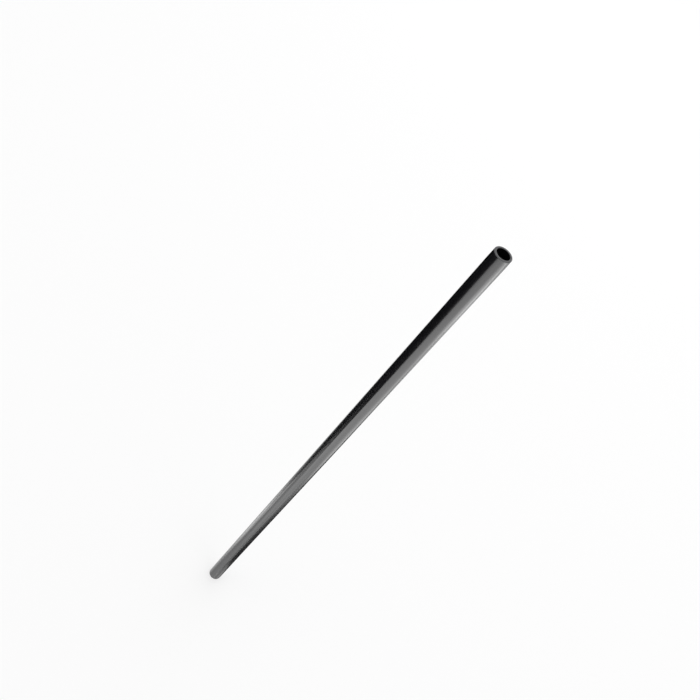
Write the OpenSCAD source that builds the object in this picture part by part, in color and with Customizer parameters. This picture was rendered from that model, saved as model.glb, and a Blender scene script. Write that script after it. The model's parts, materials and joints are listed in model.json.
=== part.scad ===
// Straight drinking straw: one thin plastic tube, extruded and cut square at both ends.
// It stands on one cut end on the plane z = 0, and its axis is the Z axis.

/* [Tube] */
// Length from one cut end to the other, in mm
straw_length = 203; // [100:1:300]
// Outside diameter of the tube
outer_d = 5; // [3:0.1:12]
// Thickness of the tube's wall
wall = 0.6; // [0.12:0.01:1]

/* [Cut ends] */
// Radius that the knife leaves on the outer edge of each end, up to half the wall
outer_edge_r = 0.16; // [0.02:0.01:0.5]
// Radius on the inner edge of each end, up to half the wall
inner_edge_r = 0.08; // [0.01:0.01:0.5]

/* [Hidden] */

outer_r = outer_d / 2;
inner_r = outer_r - wall;
outer_round = min(outer_edge_r, wall / 2);
inner_round = min(inner_edge_r, wall / 2);

// Straight steps in each quarter-round edge
edge_steps = 4;
// Facets round the tube
$fn = 96;

// Points of a quarter circle about a centre, starting at an angle in degrees
function quarter(centre, r, start) =
    [for (i = [0 : edge_steps])
        let (a = start + 90 * i / edge_steps)
        centre + r * [cos(a), sin(a)]];

// Lengthwise section of the wall: x is the distance from the tube's axis, y the height
module wall_section() {
    polygon(concat(
        quarter([inner_r + inner_round, inner_round], inner_round, 180),
        quarter([outer_r - outer_round, outer_round], outer_round, 270),
        quarter([outer_r - outer_round, straw_length - outer_round], outer_round, 0),
        quarter([inner_r + inner_round, straw_length - inner_round], inner_round, 90)
    ));
}

// The whole straw: the wall's section turned about the axis
module straw() {
    color("#101011")
        rotate_extrude()
            wall_section();
}

straw();
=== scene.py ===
import json
import math

import bpy
from mathutils import Matrix, Vector


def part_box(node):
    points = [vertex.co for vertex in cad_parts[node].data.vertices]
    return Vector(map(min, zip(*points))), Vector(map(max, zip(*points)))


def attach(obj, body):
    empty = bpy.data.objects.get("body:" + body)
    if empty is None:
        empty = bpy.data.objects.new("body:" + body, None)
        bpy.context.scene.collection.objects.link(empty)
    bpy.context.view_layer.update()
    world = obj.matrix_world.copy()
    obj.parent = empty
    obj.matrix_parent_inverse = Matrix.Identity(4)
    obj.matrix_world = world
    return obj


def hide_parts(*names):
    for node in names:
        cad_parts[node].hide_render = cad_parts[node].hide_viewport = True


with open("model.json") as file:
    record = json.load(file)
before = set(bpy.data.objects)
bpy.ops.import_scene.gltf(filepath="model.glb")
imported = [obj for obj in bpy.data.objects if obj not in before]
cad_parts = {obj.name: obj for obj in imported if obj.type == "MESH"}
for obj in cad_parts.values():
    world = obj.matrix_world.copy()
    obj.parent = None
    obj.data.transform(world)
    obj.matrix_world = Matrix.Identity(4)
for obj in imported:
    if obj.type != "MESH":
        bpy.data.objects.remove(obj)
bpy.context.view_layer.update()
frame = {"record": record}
scene = bpy.context.scene
MM = 0.001

# Camera.
# The straw's near end and far end are measured in the photograph: their middles and widths. A
# pinhole camera shows the width w at the depth focal * diameter / w, which places both ends.
FRAME_PX = 700
NEAR_END_PX = Vector((503.6, 254.2))
FAR_END_PX = Vector((215.3, 573.3))
NEAR_WIDTH_PX = 22.3
FAR_WIDTH_PX = 12.2
SENSOR_MM = 36.0

straw_low, straw_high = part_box("straw")
length = straw_high.z - straw_low.z
diameter = straw_high.x - straw_low.x
middle_px = Vector((FRAME_PX, FRAME_PX)) / 2
near_across = (NEAR_END_PX - middle_px) * diameter / NEAR_WIDTH_PX
far_across = (FAR_END_PX - middle_px) * diameter / FAR_WIDTH_PX
depth_between = math.sqrt(length**2 - (near_across - far_across).length_squared)
focal_px = depth_between / (diameter / FAR_WIDTH_PX - diameter / NEAR_WIDTH_PX)
near_end = Vector((near_across.x, -near_across.y, -focal_px * diameter / NEAR_WIDTH_PX))
far_end = Vector((far_across.x, -far_across.y, -focal_px * diameter / FAR_WIDTH_PX))

# The straw stands plumb, so the camera is turned until the straw's axis is the frame's Z axis.
up = (near_end - far_end).normalized()
ahead = (near_end - up * near_end.dot(up)).normalized()
right = ahead.cross(up)
turn = Matrix((right, ahead, up))
camera = bpy.data.objects.new("camera", bpy.data.cameras.new("camera"))
camera.data.sensor_fit = "HORIZONTAL"
camera.data.sensor_width = SENSOR_MM
camera.data.lens = focal_px / FRAME_PX * SENSOR_MM
camera.data.clip_start = 0.01
camera.matrix_world = Matrix.Translation(turn @ -far_end) @ turn.to_4x4()
scene.collection.objects.link(camera)
scene.camera = camera


# Straw.
# One round tube of black polypropylene, drawn through a die and sized in a water bath, then
# chopped square by a turning knife. It is open from end to end, with no seam, print or bend.
def add(tree, kind, inputs=(), **settings):
    """Adds one node to a tree, with its settings, and its inputs by name or number."""
    made = tree.nodes.new(kind)
    for name, value in settings.items():
        setattr(made, name, value)
    for name, value in dict(inputs).items():
        if isinstance(value, bpy.types.Node):
            value = value.outputs[0]
        if isinstance(value, bpy.types.NodeSocket):
            tree.links.new(value, made.inputs[name])
        else:
            made.inputs[name].default_value = value
    return made


def linear(hex_colour):
    """Turns an sRGB hex colour, such as #1A1A1B, into the linear values that shaders take."""
    levels = [int(hex_colour[i : i + 2], 16) / 255 for i in (1, 3, 5)]
    curve = [v / 12.92 if v <= 0.04045 else ((v + 0.055) / 1.055) ** 2.4 for v in levels]
    return (*curve, 1.0)


# Polypropylene, extruded: the melt cools against the sizing ring, so the skin has a satin
# gloss, a slight ripple and faint lengthwise die lines. Real lines are 0.05 to 0.2 mm apart.
# Here they are 0.45 mm apart, and deeper too, because finer ones don't show at this distance.
POLYPROPYLENE_IOR = 1.49
SKIN_COLOURS = ("#08080A", "#0F0F11")
SKIN_ROUGHNESS = (0.16, 0.27)
DIE_LINE_MM = 0.45
DIE_LINE_RUN_MM = 60.0
DIE_LINE_DEPTH_MM = 0.016
RIPPLE_MM = 2.5
RIPPLE_DEPTH_MM = 0.006
NOISE_LOW = 0.3
NOISE_HIGH = 0.7

extruded = bpy.data.materials.new("black polypropylene, extruded, satin")
extruded.use_nodes = True
tree = extruded.node_tree
tree.nodes.clear()
place = add(tree, "ShaderNodeTexCoord").outputs["Object"]
along = add(
    tree,
    "ShaderNodeMapping",
    {
        "Vector": place,
        "Scale": (
            1 / (DIE_LINE_MM * MM),
            1 / (DIE_LINE_MM * MM),
            1 / (DIE_LINE_RUN_MM * MM),
        ),
    },
)
die_lines = add(tree, "ShaderNodeTexNoise", {"Vector": along, "Scale": 1.0, "Detail": 2.0})
ripple = add(
    tree,
    "ShaderNodeTexNoise",
    {"Vector": place, "Scale": 1 / (RIPPLE_MM * MM), "Detail": 1.0},
)
gloss = add(
    tree,
    "ShaderNodeMapRange",
    {
        "Value": die_lines,
        "From Min": NOISE_LOW,
        "From Max": NOISE_HIGH,
        "To Min": SKIN_ROUGHNESS[0],
        "To Max": SKIN_ROUGHNESS[1],
    },
)
shade = add(
    tree,
    "ShaderNodeMix",
    {0: die_lines, 6: linear(SKIN_COLOURS[0]), 7: linear(SKIN_COLOURS[1])},
    data_type="RGBA",
)
rippled = add(
    tree,
    "ShaderNodeBump",
    {"Height": ripple, "Distance": RIPPLE_DEPTH_MM * MM},
)
lined = add(
    tree,
    "ShaderNodeBump",
    {"Height": die_lines, "Distance": DIE_LINE_DEPTH_MM * MM, "Normal": rippled},
)
skin = add(
    tree,
    "ShaderNodeBsdfPrincipled",
    {
        "Base Color": shade.outputs[2],
        "Roughness": gloss,
        "IOR": POLYPROPYLENE_IOR,
        "Normal": lined,
    },
)
add(tree, "ShaderNodeOutputMaterial", {"Surface": skin})

# Polypropylene, knife cut: the blade drags the cut face matt, and paler than the skin.
CUT_COLOURS = ("#2C2C2E", "#3A3A3C")
CUT_ROUGHNESS = 0.55
KNIFE_MARK_MM = 0.12

cut = bpy.data.materials.new("black polypropylene, knife cut, matt")
cut.use_nodes = True
tree = cut.node_tree
tree.nodes.clear()
place = add(tree, "ShaderNodeTexCoord").outputs["Object"]
marks = add(
    tree,
    "ShaderNodeTexNoise",
    {"Vector": place, "Scale": 1 / (KNIFE_MARK_MM * MM), "Detail": 1.0},
)
shade = add(
    tree,
    "ShaderNodeMix",
    {0: marks, 6: linear(CUT_COLOURS[0]), 7: linear(CUT_COLOURS[1])},
    data_type="RGBA",
)
face = add(
    tree,
    "ShaderNodeBsdfPrincipled",
    {"Base Color": shade.outputs[2], "Roughness": CUT_ROUGHNESS, "IOR": POLYPROPYLENE_IOR},
)
add(tree, "ShaderNodeOutputMaterial", {"Surface": face})

# The tube: the wall's lengthwise section, with the part's own edge radii, is swept round the
# axis. Then it gets what extrusion and chopping leave on it: a slow wave from the sizing ring,
# and ends that the blade has pinched a little.
mounts = {mount["name"]: mount["dims"] for mount in frame["record"]["mounts"]}
wall = (mounts["barrel"]["r_mm"] - mounts["bore"]["r_mm"]) * MM
SIZES = {
    "Length": length,
    "Mid Radius": diameter / 2 - wall / 2,
    "Wall": wall,
    "Outer Edge Radius": 0.16 * MM,
    "Inner Edge Radius": 0.08 * MM,
    "Ring Spacing": 1.25 * MM,
    "Sizing Wave": 0.03 * MM,
    "Wave Length": 14 * MM,
    "Knife Pinch": 0.05 * MM,
    "Pinch Reach": 3 * MM,
}
FACETS = 128
EDGE_STEPS = 4

tree = bpy.data.node_groups.new("straw_tube", "GeometryNodeTree")
tree.interface.new_socket("Geometry", in_out="INPUT", socket_type="NodeSocketGeometry")
inputs = {
    name: tree.interface.new_socket(name, in_out="INPUT", socket_type="NodeSocketFloat")
    for name in SIZES
}
tree.interface.new_socket("Geometry", in_out="OUTPUT", socket_type="NodeSocketGeometry")
size = add(tree, "NodeGroupInput").outputs
point = add(tree, "GeometryNodeInputPosition").outputs[0]

# The section's x runs outwards through the wall, and its y along the straw.
section = add(
    tree,
    "GeometryNodeCurvePrimitiveQuadrilateral",
    {"Width": size["Wall"], "Height": size["Length"]},
)
across = add(tree, "ShaderNodeSeparateXYZ", {0: point})
outside = add(tree, "FunctionNodeCompare", {"A": across, "B": 0.0}, operation="GREATER_THAN")
edge_radius = add(
    tree,
    "GeometryNodeSwitch",
    {
        "Switch": outside,
        "False": size["Inner Edge Radius"],
        "True": size["Outer Edge Radius"],
    },
    input_type="FLOAT",
)
section = add(
    tree,
    "GeometryNodeFilletCurve",
    {"Curve": section, "Count": EDGE_STEPS, "Radius": edge_radius},
    mode="POLY",
)

# Only the two long sides are longer than the ring spacing, so only they are cut into rings.
index = add(tree, "GeometryNodeInputIndex")
following = add(tree, "GeometryNodeOffsetPointInCurve", {"Point Index": index, "Offset": 1})
next_point = add(
    tree,
    "GeometryNodeFieldAtIndex",
    {"Value": point, "Index": following.outputs["Point Index"]},
    data_type="FLOAT_VECTOR",
)
gap = add(tree, "ShaderNodeVectorMath", {0: point, 1: next_point}, operation="DISTANCE")
rings = add(
    tree,
    "ShaderNodeMath",
    {0: gap.outputs["Value"], 1: size["Ring Spacing"]},
    operation="DIVIDE",
)
section = add(tree, "GeometryNodeSubdivideCurve", {"Curve": section, "Cuts": rings})
circle = add(
    tree,
    "GeometryNodeCurvePrimitiveCircle",
    {"Resolution": FACETS, "Radius": size["Mid Radius"]},
)
tube = add(tree, "GeometryNodeCurveToMesh", {"Curve": circle, "Profile Curve": section})

# The wave: a smooth noise that only ever draws the skin inwards, so the tube stays in its size.
outwards = add(tree, "ShaderNodeVectorMath", {0: point, 1: (1, 1, 0)}, operation="MULTIPLY")
outwards = add(tree, "ShaderNodeVectorMath", {0: outwards}, operation="NORMALIZE")
waves_per_metre = add(
    tree,
    "ShaderNodeMath",
    {0: 1.0, 1: size["Wave Length"]},
    operation="DIVIDE",
)
wave = add(
    tree,
    "ShaderNodeTexNoise",
    {"Vector": point, "Scale": waves_per_metre, "Detail": 1.0},
)
wave = add(tree, "ShaderNodeMath", {0: wave, 1: size["Sizing Wave"]}, operation="MULTIPLY")
inwards = add(tree, "ShaderNodeMath", {0: wave, 1: -1.0}, operation="MULTIPLY")
wave = add(tree, "ShaderNodeVectorMath", {0: outwards, "Scale": inwards}, operation="SCALE")
tube = add(tree, "GeometryNodeSetPosition", {"Geometry": tube, "Offset": wave})

# The pinch: the blade flattens the upper end along X and the lower end along Y.
half_length = add(tree, "ShaderNodeMath", {0: size["Length"], 1: 0.5}, operation="MULTIPLY")
pinch_start = add(
    tree,
    "ShaderNodeMath",
    {0: half_length, 1: size["Pinch Reach"]},
    operation="SUBTRACT",
)
height = add(tree, "ShaderNodeSeparateXYZ", {0: point}).outputs["Z"]
depth = add(tree, "ShaderNodeMath", {0: height, 1: -1.0}, operation="MULTIPLY")
pinches = []
for reached in (height, depth):
    pinches.append(
        add(
            tree,
            "ShaderNodeMapRange",
            {
                "Value": reached,
                "From Min": pinch_start,
                "From Max": half_length,
                "To Min": 0.0,
                "To Max": size["Knife Pinch"],
            },
            interpolation_type="SMOOTHERSTEP",
        )
    )
pinch = add(tree, "ShaderNodeCombineXYZ", {"X": pinches[0], "Y": pinches[1]})
pinch = add(tree, "ShaderNodeVectorMath", {0: outwards, 1: pinch}, operation="MULTIPLY")
pinch = add(tree, "ShaderNodeVectorMath", {0: pinch, "Scale": -1.0}, operation="SCALE")
tube = add(tree, "GeometryNodeSetPosition", {"Geometry": tube, "Offset": pinch})
lift = add(tree, "ShaderNodeCombineXYZ", {"Z": half_length})
tube = add(tree, "GeometryNodeTransform", {"Geometry": tube, "Translation": lift})

# The walls are shaded smooth up to the rounded edges, whose first facet tips by more than this.
WALL_TIP = 0.1
facing = add(
    tree,
    "ShaderNodeSeparateXYZ",
    {0: add(tree, "GeometryNodeInputNormal")},
).outputs["Z"]
tipped = add(tree, "ShaderNodeMath", {0: facing}, operation="ABSOLUTE")
on_end = add(tree, "FunctionNodeCompare", {"A": tipped, "B": WALL_TIP}, operation="GREATER_THAN")
part_end = add(
    tree,
    "GeometryNodeFieldOnDomain",
    {"Value": add(tree, "GeometryNodeFieldOnDomain", {"Value": on_end}, domain="FACE")},
    domain="EDGE",
)
border = add(
    tree,
    "FunctionNodeCompare",
    {"A": part_end, "B": 0.5, "Epsilon": 0.25},
    operation="NOT_EQUAL",
)
tube = add(
    tree,
    "GeometryNodeSetShadeSmooth",
    {"Geometry": tube, "Shade Smooth": True},
)
tube = add(
    tree,
    "GeometryNodeSetShadeSmooth",
    {"Geometry": tube, "Shade Smooth": border},
    domain="EDGE",
)
tube = add(tree, "GeometryNodeRealizeInstances", {"Geometry": tube})
tube = add(tree, "GeometryNodeSetMaterial", {"Geometry": tube, "Material": extruded})
tube = add(
    tree,
    "GeometryNodeSetMaterial",
    {"Geometry": tube, "Selection": on_end, "Material": cut},
)
add(tree, "NodeGroupOutput", {"Geometry": tube})

holder = bpy.data.objects.new("holder", bpy.data.meshes.new("holder"))
scene.collection.objects.link(holder)
modifier = holder.modifiers.new("straw_tube", "NODES")
modifier.node_group = tree
for name, socket in inputs.items():
    modifier[socket.identifier] = SIZES[name]
evaluated = holder.evaluated_get(bpy.context.evaluated_depsgraph_get())
straw = bpy.data.objects.new("straw_tube", bpy.data.meshes.new_from_object(evaluated))
scene.collection.objects.link(straw)
bpy.data.objects.remove(holder)
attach(straw, "root")
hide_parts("straw")

# Floor.
# A matt white sheet that lets the light table under it shine through. It looks mostly white
# near the straw, with a soft shadow, and wholly white further off, so its edge never shows.
FLOOR_SPAN = (-6.0, 6.0)
FLOOR_GLOW = 0.6
FADE_START = 0.4
FADE_END = 1.2

paper = bpy.data.materials.new("white paper, matt")
paper.use_nodes = True
tree = paper.node_tree
tree.nodes.clear()


def looked_at(tree, share):
    """Gives share for camera, glossy and transmission rays, and 0 for rays that light things."""
    path = add(tree, "ShaderNodeLightPath").outputs
    seen = add(
        tree,
        "ShaderNodeMath",
        {0: path["Is Camera Ray"], 1: path["Is Glossy Ray"]},
        operation="MAXIMUM",
    )
    seen = add(
        tree,
        "ShaderNodeMath",
        {0: seen, 1: path["Is Transmission Ray"]},
        operation="MAXIMUM",
    )
    return add(tree, "ShaderNodeMath", {0: seen, 1: share}, operation="MULTIPLY")


matt = add(tree, "ShaderNodeBsdfDiffuse", {"Color": linear("#F2F2F2")})
white = add(tree, "ShaderNodeEmission", {"Color": (1, 1, 1, 1), "Strength": 1.0})
place = add(tree, "ShaderNodeTexCoord").outputs["Object"]
away_from_straw = add(tree, "ShaderNodeVectorMath", {0: place}, operation="LENGTH")
glow = add(
    tree,
    "ShaderNodeMapRange",
    {
        "Value": away_from_straw.outputs["Value"],
        "From Min": FADE_START,
        "From Max": FADE_END,
        "To Min": FLOOR_GLOW,
        "To Max": 1.0,
    },
    interpolation_type="SMOOTHSTEP",
)
surface = add(tree, "ShaderNodeMixShader", {0: looked_at(tree, glow), 1: matt, 2: white})
add(tree, "ShaderNodeOutputMaterial", {"Surface": surface})


def sheet(name, across, away, level, material):
    """Adds a level rectangle, with its span in X, its span in Y and its height."""
    corners = [
        (across[0], away[0], level),
        (across[1], away[0], level),
        (across[1], away[1], level),
        (across[0], away[1], level),
    ]
    mesh = bpy.data.meshes.new(name)
    mesh.from_pydata(corners, [], [(0, 1, 2, 3)])
    mesh.materials.append(material)
    made = bpy.data.objects.new(name, mesh)
    scene.collection.objects.link(made)
    return made


floor = sheet("floor", FLOOR_SPAN, FLOOR_SPAN, 0, paper)
floor.visible_shadow = False
floor.visible_glossy = False

# Light.
# A white room, dimmer as a lamp than it looks, and a light table under the sheet: soft boxes
# fill the straw's front and draw its bright lines, and black cards keep its left side dark.
ROOM_LIGHT = 0.35

world = bpy.data.worlds.new("white room")
scene.world = world
world.use_nodes = True
tree = world.node_tree
tree.nodes.clear()
room = add(tree, "ShaderNodeBackground", {"Color": (1, 1, 1, 1), "Strength": ROOM_LIGHT})
white = add(tree, "ShaderNodeBackground", {"Color": (1, 1, 1, 1), "Strength": 1.0})
surface = add(tree, "ShaderNodeMixShader", {0: looked_at(tree, 1.0), 1: room, 2: white})
add(tree, "ShaderNodeOutputWorld", {"Surface": surface})


def soft_box(name, middle, turned, width, height, brightness):
    """Adds a rectangular lamp that the camera doesn't see. One of brightness 1 shines white."""
    lamp = bpy.data.lights.new(name, "AREA")
    lamp.shape = "RECTANGLE"
    lamp.size = width
    lamp.size_y = height
    lamp.energy = brightness * math.pi * width * height
    box = bpy.data.objects.new(name, lamp)
    box.location = middle
    box.rotation_euler = turned
    box.visible_camera = False
    scene.collection.objects.link(box)


# The light table's soft boxes shine up. Each has its span in X, its span in Y, its height and
# its brightness. The camera is on the -Y side. The front left box lies on a black card. The
# foot's box lies close under the sheet, so the photo's view shows it only in the last 12 mm.
TABLE_LEVEL = -0.30
ON_CARD_LEVEL = TABLE_LEVEL + 0.001
FOOT_LEVEL = -0.01
TABLE_BOXES = {
    "soft box, front": ((-0.11, 1.0), (-1.0, -0.28), TABLE_LEVEL, 2.6),
    "soft box, front left": ((-0.24, -0.11), (-1.0, -0.62), ON_CARD_LEVEL, 2.6),
    "soft box, middle": ((-0.20, 0.27), (-0.28, -0.20), TABLE_LEVEL, 1.7),
    "soft box, near": ((-0.19, 0.08), (-0.20, -0.12), TABLE_LEVEL, 0.4),
    "soft box, left": ((-0.25, -0.19), (-0.19, 0.12), TABLE_LEVEL, 2.5),
    "soft box, near right": ((0.12, 0.27), (-0.20, -0.14), TABLE_LEVEL, 1.8),
    "soft box, right": ((0.27, 0.55), (-0.28, 0.18), TABLE_LEVEL, 2.2),
    "soft box, far right": ((0.55, 1.0), (-0.28, 0.30), TABLE_LEVEL, 4.5),
    "soft box, back right": ((0.32, 0.80), (0.30, 0.56), TABLE_LEVEL, 1.0),
    "soft box, foot": ((0.003, 0.015), (-0.010, 0.003), FOOT_LEVEL, 0.9),
}
for name, (across, away, level, brightness) in TABLE_BOXES.items():
    soft_box(
        name,
        middle=(sum(across) / 2, sum(away) / 2, level),
        turned=(math.pi, 0, 0),
        width=across[1] - across[0],
        height=away[1] - away[0],
        brightness=brightness,
    )

# The overhead soft box hangs over the straw and shines down on its upper end.
OVERHEAD_MIDDLE = (0, 0.4, 1.2)
OVERHEAD_WIDTH = 2.0
OVERHEAD_BRIGHTNESS = 1.4

soft_box(
    "soft box, overhead",
    middle=OVERHEAD_MIDDLE,
    turned=(0, 0, 0),
    width=OVERHEAD_WIDTH,
    height=OVERHEAD_WIDTH,
    brightness=OVERHEAD_BRIGHTNESS,
)

# Three upright soft boxes stand round the straw and draw long lines of light on its sides and
# its back. Each has a bearing in degrees from the +Y axis towards the +X axis.
UPRIGHT_BEARINGS = {
    "upright soft box, left": -120,
    "upright soft box, right": 120,
    "upright soft box, back": 0,
}
UPRIGHT_DISTANCE = 1.3
UPRIGHT_LEVEL = 0.06
UPRIGHT_WIDTH = 1.1
UPRIGHT_HEIGHT = 0.68
UPRIGHT_BRIGHTNESS = 3.2

for name, bearing in UPRIGHT_BEARINGS.items():
    angle = math.radians(bearing)
    towards = (UPRIGHT_DISTANCE * math.sin(angle), UPRIGHT_DISTANCE * math.cos(angle))
    soft_box(
        name,
        middle=(*towards, UPRIGHT_LEVEL),
        turned=(math.pi / 2, 0, math.pi - angle),
        width=UPRIGHT_WIDTH,
        height=UPRIGHT_HEIGHT,
        brightness=UPRIGHT_BRIGHTNESS,
    )

# The light table's black cards lie beside its soft boxes. They darken the straw's left side,
# and its right side above the foot. Each has its span in X and its span in Y.
BLACK_CARDS = {
    "black card, left": ((-1.8, -0.26), (-1.4, 1.4)),
    "black card, front": ((-0.26, -0.11), (-1.4, -0.28)),
    "black card, front left": ((-0.26, -0.20), (-0.28, -0.19)),
    "black card, near": ((0.08, 0.20), (-0.14, 0.33)),
    "black card, right": ((0.20, 0.28), (-0.05, 0.33)),
}

black = bpy.data.materials.new("black card, matt")
black.use_nodes = True
tree = black.node_tree
tree.nodes.clear()
matt = add(tree, "ShaderNodeBsdfDiffuse", {"Color": linear("#050505")})
add(tree, "ShaderNodeOutputMaterial", {"Surface": matt})
for name, (across, away) in BLACK_CARDS.items():
    card = sheet(name, across, away, TABLE_LEVEL, black)

scene.view_settings.view_transform = "Standard"
